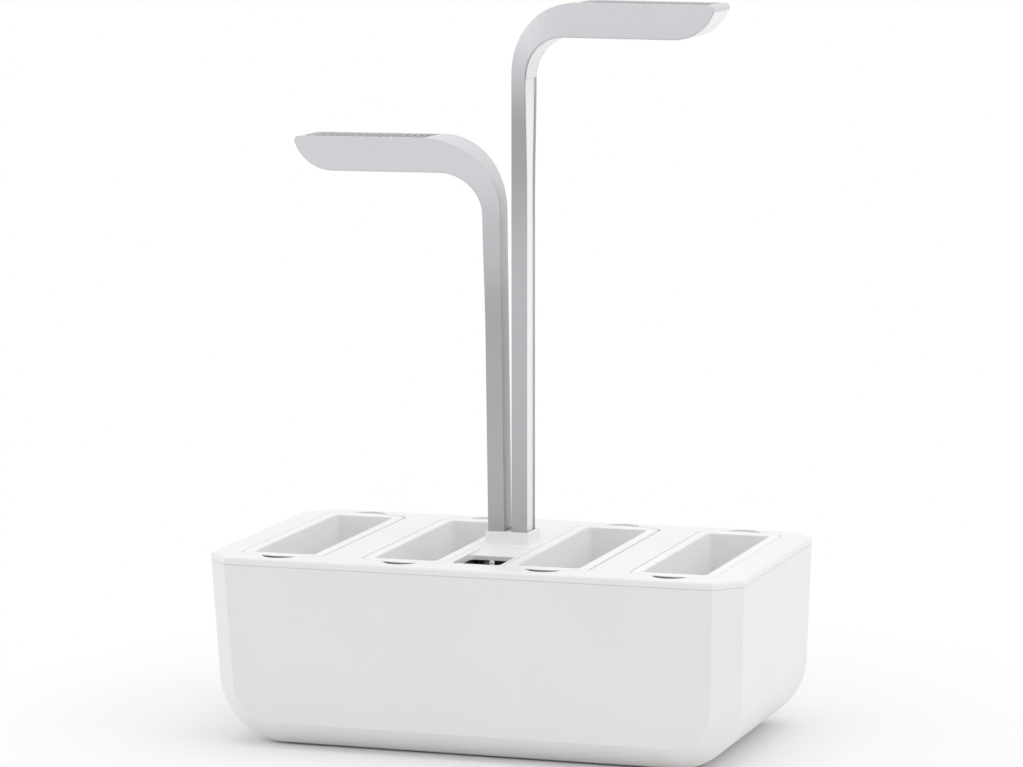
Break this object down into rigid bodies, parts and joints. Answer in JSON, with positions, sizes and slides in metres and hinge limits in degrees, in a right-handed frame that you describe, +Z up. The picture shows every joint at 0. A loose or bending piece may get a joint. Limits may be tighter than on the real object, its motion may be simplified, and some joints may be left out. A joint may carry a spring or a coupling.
{
  "type": "countertop hydroponic garden",
  "caption": "Oblong water tank with a flat lid, long lift-out planting trays and two lamp arms that slide up out of a central collar, one to each side.",
  "frame": {"origin": "centre of the footprint, on the plane the rubber feet stand on", "axes": "+X along the garden to its right end seen from the front, -Y to the front where the filling window is, +Z up"},
  "size_m": [0.3, 0.157, 0.3988],
  "materials": {
    "white_shell": "smooth satin white moulding",
    "white_tray": "smooth satin white moulding",
    "silver": "satin silver coating on a moulding",
    "silver_grille": "matt grey vent",
    "diffuser": "milky white light panel",
    "white_inner": "plain white moulding",
    "black_inner": "plain black moulding",
    "board_green": "coated circuit board",
    "board_white": "white coated aluminium board",
    "chips": "small light chips",
    "copper": "sprung contact metal",
    "steel": "plain screw steel",
    "rubber": "soft pale rubber",
    "black_rubber": "soft black rubber",
    "felt": "needled white wick felt",
    "foam": "closed cell foam",
    "lead_jacket": "flat white lead"
  },
  "bodies": {
    "tub": {"tub": "white_shell", "rubber_feet": "rubber"},
    "lid_unit": {"lid": "white_shell", "arm_guide": "black_inner", "guide_cap": "black_inner", "guide_seal": "black_rubber", "left_brake_pad": "black_rubber", "right_brake_pad": "black_rubber", "left_contact_rails": "copper", "right_contact_rails": "copper", "board_housing": "white_inner", "housing_seal": "black_rubber", "control_board": "board_green", "board_parts": "black_inner", "dc_inlet": "black_inner", "inlet_nut": "steel", "housing_screws": "steel", "float_cage": "white_inner"},
    "level_gauge": {"level_float": "foam", "level_stick": "white_inner"},
    "left_arm": {"left_arm_shell": "silver", "left_post_cover": "white_inner", "left_diffuser": "diffuser", "left_head_grille": "silver_grille", "left_led_board": "board_white", "left_leds": "chips", "left_lead": "lead_jacket", "left_end_plug": "white_inner", "left_brushes": "copper"},
    "right_arm": {"right_arm_shell": "silver", "right_post_cover": "white_inner", "right_diffuser": "diffuser", "right_head_grille": "silver_grille", "right_led_board": "board_white", "right_leds": "chips", "right_lead": "lead_jacket", "right_end_plug": "white_inner", "right_brushes": "copper"},
    "tray_1_unit": {"tray_1": "white_tray", "wicks_1": "felt"},
    "tray_2_unit": {"tray_2": "white_tray", "wicks_2": "felt"},
    "tray_3_unit": {"tray_3": "white_tray", "wicks_3": "felt"},
    "tray_4_unit": {"tray_4": "white_tray", "wicks_4": "felt"}
  },
  "joints": [
    {"name": "lid_lift", "type": "slide", "parent": "tub", "child": "lid_unit", "axis": [0, 0, 1], "range_m": [0, 0.12]},
    {"name": "left_arm_slide", "type": "slide", "parent": "lid_unit", "child": "left_arm", "axis": [0, 0, 1], "range_m": [-0.004, 0.076]},
    {"name": "right_arm_slide", "type": "slide", "parent": "lid_unit", "child": "right_arm", "axis": [0.0131, 0, 0.9999], "range_m": [-0.077, 0.0025]},
    {"name": "level_slide", "type": "slide", "parent": "lid_unit", "child": "level_gauge", "axis": [0, 0, 1], "range_m": [0, 0.03]},
    {"name": "tray_1_lift", "type": "slide", "parent": "lid_unit", "child": "tray_1_unit", "axis": [0, 0, 1], "range_m": [0, 0.06]},
    {"name": "tray_2_lift", "type": "slide", "parent": "lid_unit", "child": "tray_2_unit", "axis": [0, 0, 1], "range_m": [0, 0.06]},
    {"name": "tray_3_lift", "type": "slide", "parent": "lid_unit", "child": "tray_3_unit", "axis": [0, 0, 1], "range_m": [0, 0.06]},
    {"name": "tray_4_lift", "type": "slide", "parent": "lid_unit", "child": "tray_4_unit", "axis": [0, 0, 1], "range_m": [0, 0.06]}
  ]
}
